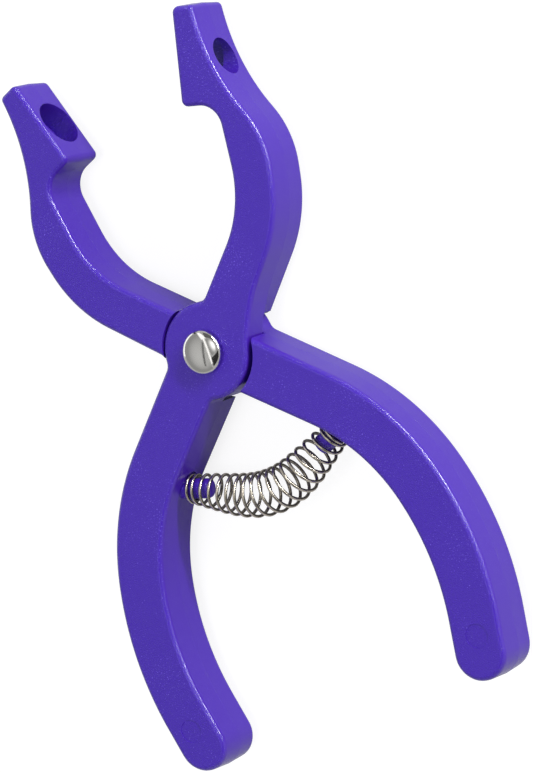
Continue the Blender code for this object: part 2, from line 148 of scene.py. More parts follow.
def baked(piece):
    # The mesh with its modifiers applied, so that nothing is left to work out later
    mesh = evaluated_mesh(piece)
    piece.modifiers.clear()
    piece.data = mesh
    return piece


# %% [markdown]
# Two strokes draw every outline here, as with a ruler and compasses: a line, which extrudes the
# last point, and an arc, which spins it about a centre. A round part is a profile of such lines
# on one side of an axis, spun all the way round it, as on a lathe. A cylinder with loops cut
# into it would do too, but a profile keeps each step and chamfer as a plain pair of numbers.

# %% Lines, arcs and turned shapes
Z_AXIS = (0, 0, 1)
NO_MOVE = (0, 0, 0)


def draw_line(shape, tip, point):
    # One straight stroke from the last vertex to a point
    new_tip = bmesh.ops.extrude_vert_indiv(shape, verts=[tip])["verts"][0]
    bmesh.ops.translate(shape, verts=[new_tip], vec=point - new_tip.co)
    return new_tip


def draw_arc(shape, tip, centre, turn, steps):
    # The last vertex is spun about a centre, which leaves a row of edges behind it
    spun = bmesh.ops.spin(
        shape,
        geom=[tip],
        cent=centre,
        axis=Z_AXIS,
        dvec=NO_MOVE,
        angle=turn,
        steps=steps,
        use_merge=False,
        use_duplicate=False,
    )
    return [item for item in spun["geom_last"] if isinstance(item, bmesh.types.BMVert)][0]


def put_in_order(shape):
    # Spinning several edges hands out the new ones, and their faces, in another order each
    # run. Sorted by their corners, they give the same mesh every time.
    shape.verts.index_update()
    count = len(shape.verts)

    def rank(part):
        number = 0
        for index in sorted(vert.index for vert in part.verts)[:3]:
            number = number * count + index
        return number

    shape.edges.sort(key=rank)
    shape.faces.sort(key=rank)


def turned(profile, steps):
    # A profile of (radius, height) points spun once about the Z axis
    shape = bmesh.new()
    radius, height = profile[0]
    tip = bmesh.ops.create_vert(shape, co=(radius, 0, height))["vert"][0]
    for radius, height in profile[1:]:
        tip = draw_line(shape, tip, Vector((radius, 0, height)))
    bmesh.ops.spin(
        shape,
        geom=list(shape.verts) + list(shape.edges),
        cent=NO_MOVE,
        axis=Z_AXIS,
        dvec=NO_MOVE,
        angle=2 * math.pi,
        steps=steps,
        use_merge=True,
        use_duplicate=False,
    )
    put_in_order(shape)
    bmesh.ops.remove_doubles(shape, verts=shape.verts, dist=WELD)
    bmesh.ops.recalc_face_normals(shape, faces=shape.faces)
    return shape


# %% [markdown]
# A material is a small graph of nodes. Few kinds are needed here: a bit of arithmetic, a slope
# between two levels, a mixture of two colours, one part of a vector, and noise. Each has a
# helper that takes plain values or the outputs of other nodes and hands on its own output, so
# that a material reads from top to bottom like a recipe.

# %% Helpers for materials
WHITE = (1, 1, 1, 1)
BLACK = (0, 0, 0, 1)


def feed(tree, node, settings):
    # Each input named takes the output of another node, or else a plain value
    for name, value in settings.items():
        if isinstance(value, bpy.types.NodeSocket):
            tree.links.new(value, node.inputs[name])
        else:
            node.inputs[name].default_value = value


def math_of(tree, operation, *values):
    node = tree.nodes.new("ShaderNodeMath")
    node.operation = operation
    feed(tree, node, dict(enumerate(values)))
    return node.outputs[0]


def slope_of(tree, value, ends, low=0.0, high=1.0, kind="LINEAR"):
    # Low before the first end, high after the second, and a slope between them
    node = tree.nodes.new("ShaderNodeMapRange")
    node.interpolation_type = kind
    feed(tree, node, {"Value": value, "From Min": ends[0], "From Max": ends[1]})
    feed(tree, node, {"To Min": low, "To Max": high})
    return node.outputs["Result"]


def mixture_of(tree, share, first, second):
    node = tree.nodes.new("ShaderNodeMix")
    node.data_type = "RGBA"
    feed(tree, node, {"Factor": share, "A": first, "B": second})
    return node.outputs["Result"]


def part_of(tree, vector, axis):
    node = tree.nodes.new("ShaderNodeSeparateXYZ")
    feed(tree, node, {"Vector": vector})
    return node.outputs[axis]


def noise_of(tree, place, scale, detail, roughness=0.5):
    node = tree.nodes.new("ShaderNodeTexNoise")
    feed(tree, node, {"Vector": place, "Scale": scale, "Detail": detail, "Roughness": roughness})
    return node.outputs["Fac"]


def place_on_object(tree):
    return tree.nodes.new("ShaderNodeTexCoord").outputs["Object"]


def new_material(name, settings):
    # What is the same all over the surface stands on the shader's own sockets
    material = bpy.data.materials.new(name)
    material.use_nodes = True
    feed(material.node_tree, shader_of(material), settings)
    return material


def shader_of(material):
    return material.node_tree.nodes["Principled BSDF"]


# %% [markdown]
# Moulded plastic has two finishes here. The faces carry a fine spark-eroded grain that sparkles,
# through its bumps and through pale specks painted in as sparkle, and the walls are smoother, with
# a satin gloss. The rounded edge between them shines in small dots, where the grain catches the
# light, but round the pads of the jaws it is rubbed dull. A painted image could hold all this, but
# noise on Object coordinates needs no unwrapping and stays sharp from any distance. One node group
# makes the masks from that noise, from how far the surface looks up or down, and from the place of
# the pads.

# %% Grain group
GRAIN_SCALE = 3800.0
SIDE_GRAIN = 0.12
SPECK_SCALE = 2700.0
PATCH_SCALE = 55.0
PATCH_SHARE = 0.30
DOT_FLOOR = 0.05
PAD_SHINE = 0.20

# Where a mask starts and where it is full, by how far the surface looks up or down
FACE_ENDS = (0.25, 0.85)
FLAT_ENDS = (0.90, 0.99)
EDGE_ENDS = (0.25, 0.60)
# The same by the noise
DOT_ENDS = (0.47, 0.60)
SPECK_ENDS = (0.81, 0.93)
# The same by the distance from the middle plane and along the tool, in metres
BESIDE_PADS = (0.0240, 0.0255)
BELOW_PADS = (0.0600, 0.0570)
MASKS = ("Grain Height", "Grain Mask", "Speck Mask", "Face Mask", "Flat Mask", "Edge Shine")


def add_socket(group, name, in_out, value=None):
    socket = group.interface.new_socket(name=name, in_out=in_out, socket_type="NodeSocketFloat")
    if value is not None:
        socket.default_value = value


def unworn_share(group, place):
    # 1 on the arms and the outsides of the jaws, low on the rims of the pads between them
    aside = math_of(group, "ABSOLUTE", part_of(group, place, "X"))
    outside = slope_of(group, aside, BESIDE_PADS, low=PAD_SHINE)
    below = slope_of(group, part_of(group, place, "Y"), BELOW_PADS, low=PAD_SHINE)
    return math_of(group, "MAXIMUM", outside, below)


def moulded_grain_group():
    group = bpy.data.node_groups.new("moulded_grain", "ShaderNodeTree")
    add_socket(group, "Grain Scale", "INPUT", GRAIN_SCALE)
    add_socket(group, "Side Grain", "INPUT", SIDE_GRAIN)
    for name in MASKS:
        add_socket(group, name, "OUTPUT")
    entry = group.nodes.new("NodeGroupInput")
    leave = group.nodes.new("NodeGroupOutput")
    place = place_on_object(group)
    normal = group.nodes.new("ShaderNodeNewGeometry").outputs["Normal"]
    upright = math_of(group, "ABSOLUTE", part_of(group, normal, "Z"))
    side_grain = entry.outputs["Side Grain"]
    face = slope_of(group, upright, FACE_ENDS, low=side_grain, kind="SMOOTHSTEP")
    flat = slope_of(group, upright, FLAT_ENDS)
    grain = noise_of(group, place, entry.outputs["Grain Scale"], detail=2.0, roughness=0.6)
    # Noise for the pale specks painted on the faces as sparkle
    specks = noise_of(group, place, SPECK_SCALE, detail=1.0)
    patches = noise_of(group, place, PATCH_SCALE, detail=1.0)
    crowd = math_of(group, "MULTIPLY_ADD", patches, PATCH_SHARE, specks)
    dots = slope_of(group, grain, DOT_ENDS, low=DOT_FLOOR)
    edge = math_of(group, "SUBTRACT", slope_of(group, upright, EDGE_ENDS), flat)
    shine = math_of(group, "MULTIPLY", edge, dots)
    results = (
        math_of(group, "MULTIPLY", grain, face),
        grain,
        math_of(group, "MULTIPLY", slope_of(group, crowd, SPECK_ENDS), face),
        face,
        flat,
        math_of(group, "MULTIPLY", shine, unworn_share(group, place)),
    )
    feed(group, leave, dict(zip(MASKS, results)))
    return group


GRAIN = moulded_grain_group()
print("grain group with", len(GRAIN.nodes), "nodes")

# %% [markdown]
# The plastic is a deep blue violet, a little paler where the grain stands up. It is coloured right
# through, so its colours differ little. The walls are painted a little redder and duller than the
# faces, as painted sheen for the grey light that they mirror, and the pale specks on the faces are
# painted sparkle. The gloss does the rest: smooth walls, rougher faces, and a clear coat whose
# weight is the shine of the edges and nothing elsewhere.

# %% Plastic material
FACE_VIOLET = (0.044, 0.011, 0.360, 1)
RAISED_VIOLET = (0.058, 0.016, 0.430, 1)
# Painted sheen: the walls are redder and duller than the faces, for the grey light that they
# mirror
WALL_VIOLET_PAINTED_SHEEN = (0.058, 0.0155, 0.365, 1)
# Painted sparkle: pale specks on the faces stand in for glints of the grain
PAINTED_SPARKLE_VIOLET = (0.150, 0.090, 0.680, 1)
PLASTIC_GLOSS = {"IOR": 1.49, "Coat IOR": 1.7, "Coat Roughness": 0.14}
WALL_ROUGHNESS = 0.20
FACE_ROUGHNESS = 0.36
GRAIN_HEIGHT = 0.00015


def plastic_material(name):
    material = new_material(name, PLASTIC_GLOSS)
    tree = material.node_tree
    grain = tree.nodes.new("ShaderNodeGroup")
    grain.node_tree = GRAIN
    masks = grain.outputs
    face = mixture_of(tree, masks["Grain Mask"], FACE_VIOLET, RAISED_VIOLET)
    # The walls take their painted sheen colour, and the faces their grain colour
    wall = mixture_of(tree, masks["Face Mask"], WALL_VIOLET_PAINTED_SHEEN, face)
    # Pale specks painted on the faces as sparkle
    colour = mixture_of(tree, masks["Speck Mask"], wall, PAINTED_SPARKLE_VIOLET)
    rough = slope_of(tree, masks["Flat Mask"], (0.0, 1.0), WALL_ROUGHNESS, FACE_ROUGHNESS)
    bump = tree.nodes.new("ShaderNodeBump")
    feed(tree, bump, {"Strength": 1.0, "Distance": GRAIN_HEIGHT, "Height": masks["Grain Height"]})
    shader = shader_of(material)
    feed(tree, shader, {"Base Color": colour, "Roughness": rough})
    feed(tree, shader, {"Coat Weight": masks["Edge Shine"], "Normal": bump.outputs["Normal"]})
    return material


PLASTIC = plastic_material("violet_plastic")
print("plastic:", PLASTIC.name)

# %% [markdown]
# The outline of a lever is drawn the way a draughtsman would: straight lines that run into
# arcs. Each corner is given as a place and a radius, and the arc's centre and turn follow from
# them. The two arms meet the round hub in small fillets. Only the half of the thickness that
# carries the hub has a web as well: there the back of the jaw sweeps into the hub in one long
# curve. The other half is cut away round the pivot, so it needs none.

# %% Sizes of the outline
JAW_LENGTH = 0.0774
JAW_BOW = 0.0228
PAD_LENGTH = 0.0227
PAD_SETBACK = 0.0004
TIP_WIDTH = 0.0057
HANDLE_LENGTH = 0.1000
HANDLE_BOW = 0.03166
HANDLE_WIDTH = 0.0128
UPPER_ROUND = 0.0575
LOWER_ROUND = 0.0750
HUB_RADIUS = 0.01125
HUB_FILLET = 0.0026
WEB_RADIUS = 0.0400
print("jaw", in_mm([JAW_LENGTH, JAW_BOW]), "mm, handle", in_mm([HANDLE_LENGTH, HANDLE_BOW]), "mm")

# %% Directions and turns


def around(radius, degrees):
    angle = math.radians(degrees)
    return Vector((radius * math.cos(angle), radius * math.sin(angle)))


def left_of(direction):
    return Vector((-direction.y, direction.x))


def turn_between(into, out):
    return math.atan2(into.cross(out), into.dot(out))


def beside(before, corner, after, distance):
    # The same corner on a line that runs beside this one, on its left
    into = (corner - before).normalized()
    turn = turn_between(into, (after - corner).normalized())
    return corner + left_of(into) * distance - into * distance * math.tan(turn / 2)


# %% Corners of the jaw and the handle
JAW_HEEL = JAW_LENGTH - PAD_LENGTH
JAW_OUTSIDE = around(HUB_RADIUS, 28.5)
JAW_INSIDE = around(HUB_RADIUS, 87.7)
JAW = {
    "bow": (Vector((JAW_BOW, 0.02802)), 0.0329),
    "shoulder": (Vector((0.02166, 0.04721)), 0.0228),
    "back": (Vector((0.00887, 0.06293)), 0.0482),
    "tip": (Vector((PAD_SETBACK + TIP_WIDTH, JAW_LENGTH)), 0.0014),
    "pad tip": (Vector((PAD_SETBACK, JAW_LENGTH)), 0.00167),
    "pad heel": (Vector((PAD_SETBACK, JAW_HEEL)), 0.0016),
    "heel": (Vector((0.00939, JAW_HEEL)), 0.0054),
    "throat": (Vector((0.01286, 0.03173)), 0.0267),
}
BOW = JAW["bow"][0]

HANDLE_OUTSIDE = around(HUB_RADIUS, 196.8)
HANDLE_INSIDE = around(HUB_RADIUS, 269.3)
UPPER = Vector((-HANDLE_BOW, -0.0375))
LOWER = Vector((-0.02968, -0.0729))
END = Vector((-0.01499, -HANDLE_LENGTH))
INNER_END = END + left_of((END - LOWER).normalized()) * HANDLE_WIDTH
INNER_LOWER = beside(UPPER, LOWER, END, HANDLE_WIDTH)
INNER_UPPER = beside(HANDLE_OUTSIDE, UPPER, LOWER, HANDLE_WIDTH)
HANDLE = {
    "upper": (UPPER, UPPER_ROUND),
    "lower": (LOWER, LOWER_ROUND),
    "end": (END, 0.0065),
    "inner end": (INNER_END, 0.0062),
    "inner lower": (INNER_LOWER, LOWER_ROUND - HANDLE_WIDTH),
    "inner upper": (INNER_UPPER, UPPER_ROUND - HANDLE_WIDTH),
}
print("corners:", len(JAW), "on the jaw and", len(HANDLE), "on the handle")

# %% Strokes of the arms


def corner_stroke(before, corner, after, radius):
    # A stroke is its start, the centre that it turns about, and its turn
    into = (corner - before).normalized()
    turn = turn_between(into, (after - corner).normalized())
    start = corner - into * radius * math.tan(abs(turn) / 2)
    return start, start + left_of(into) * math.copysign(radius, turn), turn


def fillet_stroke(far_point, hub_point, free_side, radius):
    # From an arm's wall to the hub's circle
    along = (hub_point - far_point).normalized()
    normal = left_of(along) * free_side
    aside = hub_point + normal * radius
    ahead = aside.dot(along)
    reach = HUB_RADIUS + radius
    centre = aside - along * (ahead + math.sqrt(ahead**2 - aside.length_squared + reach**2))
    return centre - normal * radius, centre, turn_between(-normal, -centre.normalized())


def stroke_end(stroke):
    start, centre, turn = stroke
    return centre + Matrix.Rotation(turn, 2) @ (start - centre)


def backwards(stroke):
    return stroke_end(stroke), stroke[1], -stroke[2]


def arm_strokes(corners, entry, leave):
    # Round the corners of an arm and back to the hub
    rounded = list(corners.values())
    path = [entry] + [corner for corner, radius in rounded] + [leave]
    strokes = []
    for index, (corner, radius) in enumerate(rounded, start=1):
        strokes.append(corner_stroke(path[index - 1], corner, path[index + 1], radius))
    strokes.append(fillet_stroke(path[-2], path[-1], -1, HUB_FILLET))
    return strokes


def hub_stroke(start, end):
    turn = turn_between(start, end) % (2 * math.pi)
    return start, Vector((0, 0)), turn


# %% The whole outline
CHORD = 0.0008
ARC_STEP = math.radians(7.5)


def lever_strokes(with_web):
    # Both outlines have the two ends of the web among their points, so that the halves can
    # be joined point to point
    web = backwards(fillet_stroke(BOW, JAW_OUTSIDE, 1, WEB_RADIUS))
    plain = backwards(fillet_stroke(BOW, JAW_OUTSIDE, 1, HUB_FILLET))
    handle_fillet = backwards(fillet_stroke(UPPER, HANDLE_OUTSIDE, 1, HUB_FILLET))
    jaw = arm_strokes(JAW, JAW_OUTSIDE, JAW_INSIDE)
    handle = [handle_fillet] + arm_strokes(HANDLE, HANDLE_OUTSIDE, HANDLE_INSIDE)
    left_hub = hub_stroke(stroke_end(jaw[-1]), handle_fillet[0])
    right_hub = hub_stroke(stroke_end(handle[-1]), web[0])
    foot = [web]
    if not with_web:
        wall_point = stroke_end(web)
        foot = [hub_stroke(web[0], plain[0]), plain, (wall_point, wall_point, 0.0)]
    return foot + jaw + [left_hub] + handle + [right_hub]


def draw_outline(shape, strokes):
    first_point = strokes[0][0]
    tip = bmesh.ops.create_vert(shape, co=first_point.to_3d())["vert"][0]
    for start, centre, turn in strokes:
        if (start.to_3d() - tip.co).length > WELD:
            tip = draw_line(shape, tip, start.to_3d())
        length = abs(turn) * (start - centre).length
        steps = max(2, math.ceil(abs(turn) / ARC_STEP), math.ceil(length / CHORD))
        tip = draw_arc(shape, tip, centre.to_3d(), turn, steps)
    bmesh.ops.remove_doubles(shape, verts=shape.verts, dist=WELD)
    return bmesh.ops.contextual_create(shape, geom=list(shape.edges))["faces"][0]


print("strokes:", len(lever_strokes(True)), "with the web,", len(lever_strokes(False)), "without")

# %% [markdown]
# The lever is moulded in two halves of a mould that part at mid-thickness, so its walls lean
# in from there, and a fine raised line is left where the halves met. A plain extrusion with a
# bevel would lack both. So each half is raised from its outline by insets: a tiny one for that
# line, a long one for the leaning wall, and short ones along a quarter circle for the rounded
# edge. The two halves are then joined point to point, and the underside of the web is closed
# with one flat face.

# %% Lever blank
PARTING_LINE = 0.00001
DRAFT = 0.00012
EDGE_RADIUS = 0.0012
EDGE_STEPS = 5


def raise_half(shape, face):
    if face.normal.z < 0:
        bmesh.ops.reverse_faces(shape, faces=[face])
    wall_height = FACE - EDGE_RADIUS - PARTING_LINE
    insets = [(PARTING_LINE, PARTING_LINE), (DRAFT, wall_height)]
    for step in range(EDGE_STEPS):
        low = math.pi / 2 * step / EDGE_STEPS
        high = math.pi / 2 * (step + 1) / EDGE_STEPS
        inward = EDGE_RADIUS * (math.cos(low) - math.cos(high))
        upward = EDGE_RADIUS * (math.sin(high) - math.sin(low))
        insets.append((inward, upward))
    for inward, upward in insets:
        bmesh.ops.inset_region(
            shape,
            faces=[face],
            thickness=inward,
            depth=upward,
            use_even_offset=True,
            use_boundary=True,
        )


# %% [markdown]
# The two ends of the lever lean in more than its long walls, so that it comes out of the mould
# easily. That is a small shift along the lever, which grows with the height and fades in
# towards each end.

# %% Leaning ends
TIP_DRAFT = 0.00010
TIP_START = 0.070
TIP_FADE = 0.007
FOOT_START = -0.088
FOOT_FADE = 0.010


def lean_ends(shape):
    for vert in shape.verts:
        share = min(1.0, vert.co.z / (FACE - EDGE_RADIUS))
        tip = min(1.0, max(0.0, (vert.co.y - TIP_START) / TIP_FADE))
        foot = min(1.0, max(0.0, (FOOT_START - vert.co.y) / FOOT_FADE))
        vert.co.y += share * (foot * DRAFT - tip * TIP_DRAFT)


def half_mesh(with_web):
    shape = bmesh.new()
    face = draw_outline(shape, lever_strokes(with_web))
    raise_half(shape, face)
    lean_ends(shape)
    mesh = bpy.data.meshes.new("lever_half")
    shape.to_mesh(mesh)
    shape.free()
    return mesh


def lever_blank():
    shape = bmesh.new()
    shape.from_mesh(half_mesh(False))
    bmesh.ops.scale(shape, vec=(1, 1, -1), verts=shape.verts)
    bmesh.ops.reverse_faces(shape, faces=shape.faces)
    shape.from_mesh(half_mesh(True))
    bmesh.ops.remove_doubles(shape, verts=shape.verts, dist=WELD)
    under_web = [edge for edge in shape.edges if edge.is_boundary]
    bmesh.ops.contextual_create(shape, geom=under_web)
    bmesh.ops.recalc_face_normals(shape, faces=shape.faces)
    return shape


blank = lever_blank()
open_edges = [edge for edge in blank.edges if not edge.is_manifold]
print("lever blank:", len(blank.verts), "vertices,", len(open_edges), "open edges")

# %% [markdown]
# Cuts: the other lever's hub fills the back half of the thickness round the pivot, the rivet
# goes through a bore, each jaw has a stepped hole for the eye, and the handle has a flat round
# seat and a peg for the spring. They could be drawn into the outline one by one, but each of
# them is round, so each cutter is a turned shape, and a Boolean takes it away.

# %% Sizes of the cuts
LAP_RADIUS = 0.01195
LAP_CENTRE = around(0.0006, 222.0)
LAP_LEVEL = 0.00015
RELIEF_RADIUS = 0.0040
RELIEF_CENTRE = around(0.0116, 15.5)
RIVET_BORE = 0.0024
EYE_LEVEL = JAW_LENGTH - 0.0122
EYE_SEAT_RADIUS = 0.0055
EYE_SEAT_DEPTH = 0.0060
EYE_HOLE_RADIUS = 0.0041
EYE_HOLE_REACH = 0.0350
EYE_RIM = 0.0002
EYE_MOUTH = 0.0006
RIM_WIDTH_SHARE = 0.3
RIM_STEP_SHARE = 0.5
RIM_DEPTH_SHARE = 1.2
PEG_LEVEL = -0.0324
PEG_RADIUS = 0.00233
PEG_LENGTH = 0.0070
PEG_CHAMFER = 0.0009
PEG_CHAMFER_SHARE = 0.3
PEG_ROOT = 0.0020
SEAT_RISE = 0.0010
SEAT_RADIUS = 0.003875
INNER_WALL = -0.01328
MARK_SPOT = Vector((-0.01464, -0.08797))
MARK_RADIUS = 0.0027
MARK_SLOPE = 0.00002
MARK_DEPTH = 0.00012
BEYOND = 0.0100
LARGE_STEPS = 96
SMALL_STEPS = 64
BORE_STEPS = 48
print("eye seat", in_mm([EYE_SEAT_RADIUS * 2]), "mm wide, peg", in_mm([PEG_RADIUS * 2]), "mm")

# %% Straight cutters
UNDER_FACE = -FACE - BEYOND
OVER_FACE = FACE + BEYOND
ACROSS = Matrix.Rotation(math.pi / 2, 4, "Y")
SEAT_PLACE = Matrix.Translation((INNER_WALL + SEAT_RISE, PEG_LEVEL, 0)) @ ACROSS
PEG_PLACE = Matrix.Translation((INNER_WALL, PEG_LEVEL, 0)) @ ACROSS
EYE_PLACE = Matrix.Translation((PAD_SETBACK, EYE_LEVEL, 0)) @ ACROSS


def cutter(name, profile, steps, matrix=Matrix()):
    shape = turned(profile, steps)
    bmesh.ops.transform(shape, matrix=matrix, verts=shape.verts)
    return new_piece(name, shape, PLASTIC)


def drill(name, radius, low, high, steps, matrix=Matrix()):
    return cutter(name, [(0, low), (radius, low), (radius, high), (0, high)], steps, matrix)


def lap_cutter():
    place = Matrix.Translation(LAP_CENTRE.to_3d())
    return drill("lap_cut", LAP_RADIUS, UNDER_FACE, LAP_LEVEL, LARGE_STEPS, place)


def relief_cutter():
    # Trims the foot of the front lever's jaw, which stands close to the other handle's root
    place = Matrix.Translation(RELIEF_CENTRE.to_3d())
    return drill("relief_cut", RELIEF_RADIUS, UNDER_FACE, LAP_LEVEL, SMALL_STEPS, place)


def bore_cutter():
    return drill("bore_cut", RIVET_BORE, UNDER_FACE, OVER_FACE, BORE_STEPS)


def seat_cutter():
    return drill("seat_cut", SEAT_RADIUS, 0, BEYOND, SMALL_STEPS, SEAT_PLACE)


# %% Eye hole, pin print and peg


def eye_cutter():
    # Flared a little at the pad, then the seat, the ledge and the hole on through the back
    profile = [
        (0, -BEYOND),
        (EYE_SEAT_RADIUS + EYE_RIM + EYE_MOUTH, -BEYOND),
        (EYE_SEAT_RADIUS + EYE_RIM + EYE_MOUTH, -EYE_MOUTH),
        (EYE_SEAT_RADIUS + EYE_RIM, 0),
        (EYE_SEAT_RADIUS + EYE_RIM * RIM_WIDTH_SHARE, EYE_RIM * RIM_STEP_SHARE),
        (EYE_SEAT_RADIUS, EYE_RIM * RIM_DEPTH_SHARE),
        (EYE_SEAT_RADIUS, EYE_SEAT_DEPTH),
        (EYE_HOLE_RADIUS, EYE_SEAT_DEPTH),
        (EYE_HOLE_RADIUS, EYE_HOLE_REACH),
        (0, EYE_HOLE_REACH),
    ]
    return cutter("eye_cut", profile, LARGE_STEPS, EYE_PLACE)


def mark_cutter(side):
    # The round print of the pin that pushed the lever out of its mould
    wide = MARK_RADIUS + MARK_SLOPE
    profile = [(0, 0), (MARK_RADIUS, 0), (wide, MARK_DEPTH), (wide, BEYOND), (0, BEYOND)]
    place = Matrix.Translation((*MARK_SPOT, side * (FACE - MARK_DEPTH)))
    return cutter("mark_cut", profile, SMALL_STEPS, place @ Matrix.Diagonal((1, 1, side, 1)))


def peg():
    root = SEAT_RISE - PEG_ROOT
    blunt = PEG_CHAMFER * PEG_CHAMFER_SHARE
    profile = [
        (0, root),
        (PEG_RADIUS, root),
        (PEG_RADIUS, PEG_LENGTH - PEG_CHAMFER),
        (PEG_RADIUS - blunt, PEG_LENGTH - blunt),
        (PEG_RADIUS - PEG_CHAMFER, PEG_LENGTH),
        (0, PEG_LENGTH),
    ]
    return cutter("peg_form", profile, SMALL_STEPS, PEG_PLACE)


# %% [markdown]
# Both levers are one moulding, so the cuts are made once. Only the front lever, whose jaw has
# its foot beside the other handle's root, is trimmed a little more. Each copy is then turned to
# its place. A cut face has many corners, and smooth shading would let dark streaks run over it.
# Weighted normals let the large flat faces set the shading to their very edges.

# %% Lever meshes
FLAT_FACE_WEIGHT = 100


def cut(piece, tool, operation="DIFFERENCE"):
    modifier = piece.modifiers.new(tool.name, "BOOLEAN")
    modifier.operation = operation
    modifier.object = tool
    modifier.solver = "EXACT"


lever = new_piece("lever_form", blank, PLASTIC)
tools = [lap_cutter(), bore_cutter(), eye_cutter(), seat_cutter(), mark_cutter(1), mark_cutter(-1)]
for tool in tools:
    cut(lever, tool)
peg_form = peg()
cut(lever, peg_form, "UNION")
baked(lever)
relief = relief_cutter()
trimmed = add_object("trimmed_form", lever.data.copy())
cut(trimmed, relief)
baked(trimmed)
print("lever:", len(lever.data.polygons), "faces, trimmed:", len(trimmed.data.polygons))

# %% Levers in place


def place_lever(name, source, matrix, body, node):
    shape = bmesh.new()
    shape.from_mesh(source.data)
    bmesh.ops.transform(shape, matrix=matrix, verts=shape.verts)
    piece = new_piece(name, shape, PLASTIC)
    even = piece.modifiers.new("even_normals", "WEIGHTED_NORMAL")
    even.weight = FLAT_FACE_WEIGHT
    even.keep_sharp = True
    baked(piece)
    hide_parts(node)
    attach(piece, body)
    print(name, len(piece.data.polygons), "faces")


place_lever("front_lever_moulding", trimmed, FRONT_PLACE, "front_half", "front_lever")
place_lever("back_lever_moulding", lever, BACK_PLACE, "back_half", "back_lever")
for item in tools + [peg_form, relief, trimmed, lever]:
    bpy.data.objects.remove(item, do_unlink=True)

# %% [markdown]
# Metal is nearly all reflection, so its finish is in the roughness. The caps are polished, with
# faint wipe marks. The spring's wire is drawn and a little yellowish, and the rivet's post and
# socket are plain steel. One recipe makes all three, with a colour, a roughness and how far
# noise may raise it.

# %% Metal materials
WIPE_DETAIL = 3.0


def metal_material(name, colour, roughness, spread, scale):
    material = new_material(name, {"Metallic": 1.0, "Base Color": (*colour, 1)})
    tree = material.node_tree
    wiped = noise_of(tree, place_on_object(tree), scale, WIPE_DETAIL)
    rough = slope_of(tree, wiped, (0.0, 1.0), roughness, roughness + spread)
    feed(tree, shader_of(material), {"Roughness": rough})
    return material


CHROME = metal_material(
    "polished_cap", colour=(0.80, 0.79, 0.76), roughness=0.06, spread=0.08, scale=900.0
)
WIRE = metal_material(
    "spring_wire", colour=(0.71, 0.65, 0.545), roughness=0.20, spread=0.12, scale=700.0
)
STEEL = metal_material(
    "rivet_steel", colour=(0.58, 0.57, 0.55), roughness=0.28, spread=0.15, scale=500.0
)
for node in ("rivet_post", "rivet_socket"):
    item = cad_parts[node]
    item.data.materials.clear()
    item.data.materials.append(STEEL)
print("metals:", CHROME.name, WIRE.name, STEEL.name)

# %% [markdown]
# The rivet's caps are domes of thin sheet, curled in under their rims. A flattened ball would
# have the outline but no lip to catch the light, so the cap's profile is drawn as a closed wall
# and spun: over the dome, round under the rim, and back inside at the sheet's thickness.

# %% Rivet caps
CAP_RADIUS = 0.0050
CAP_HEIGHT = 0.0028
CAP_RIM = 0.0012
CAP_UNDER = 0.0043
CAP_LIP = 0.0036
CAP_WALL = 0.0004
CAP_GAP = 0.0003
DOME_STEPS = 20
UNDER_STEPS = 8
CURL_STEPS = 6
INSIDE_STEPS = 12


def quarter(centre, across, upward, start, steps):
    # A quarter of an ellipse, clockwise from an angle
    points = []
    for step in range(steps + 1):
        angle = start - math.pi / 2 * step / steps
        x = centre[0] + across * math.cos(angle)
        points.append((x, centre[1] + upward * math.sin(angle)))
    return points


def cap_profile():
    top = (0, CAP_RIM)
    height = CAP_HEIGHT - CAP_RIM
    width = CAP_RADIUS - CAP_UNDER
    drop = CAP_RIM - CAP_GAP
    dome = quarter(top, CAP_RADIUS, height, math.pi / 2, DOME_STEPS)
    under = quarter((CAP_UNDER, CAP_RIM), width, drop, 0, UNDER_STEPS)
    lip = [(CAP_LIP, CAP_GAP), (CAP_LIP, CAP_GAP + CAP_WALL)]
    curl = quarter((CAP_UNDER - CAP_WALL, CAP_RIM), width, drop - CAP_WALL, 0, CURL_STEPS)
    inner = quarter(top, CAP_RADIUS - CAP_WALL, height - CAP_WALL, math.pi / 2, INSIDE_STEPS)
    return dome + under[1:] + lip + curl[::-1] + inner[::-1][1:]


def add_cap(name, node, flip):
    shape = turned(cap_profile(), LARGE_STEPS)
    place = Matrix.Translation(PIVOT) @ flip @ Matrix.Translation((0, 0, FACE))
    bmesh.ops.transform(shape, matrix=place, verts=shape.verts)
    piece = new_piece(name, shape, CHROME)
    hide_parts(node)
    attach(piece, "back_half")
    print(name, len(piece.data.polygons), "faces")


add_cap("front_cap_dome", "front_rivet_cap", Matrix())
add_cap("back_cap_dome", "back_rivet_cap", TURNED_OVER)

# %% [markdown]
# The spring is one wire wound on a barrel: slim where it sits on the pegs, fat in the middle,
# and it hangs a little between them. A Screw modifier would wind a straight spring, but not a
# bowed one of changing width. So the coils' middle line comes first, straight along the pegs
# and then in a soft curve, and the wire is wound round it point by point.

# %% Line through the coils
WIRE_RADIUS = 0.000375
SPRING_SAG = 0.00495
SPRING_LEAN = math.radians(7.0)
SPRING_REACH = 0.0060
PATH_STEPS = 80


def bezier(points, share):
    while len(points) > 1:
        points = [a.lerp(b, share) for a, b in zip(points, points[1:])]
    return points[0]


def spring_line():
    first = SEAT_RISE + CAP_GAP + WIRE_RADIUS
    start = Matrix.Rotation(-HALF_OPEN, 2) @ Vector((INNER_WALL + first, PEG_LEVEL))
    along = Matrix.Rotation(-HALF_OPEN - SPRING_LEAN, 2) @ Vector((1, 0))
    tip = start + along * (PEG_LENGTH - first)
    middle = Vector((0, tip.y - SPRING_SAG))
    sweep = [tip, tip + along * SPRING_REACH, middle - Vector((SPRING_REACH, 0)), middle]
    half = [start] + [bezier(sweep, step / PATH_STEPS) for step in range(PATH_STEPS + 1)]
    return half + [Vector((-point.x, point.y)) for point in reversed(half[:-1])]


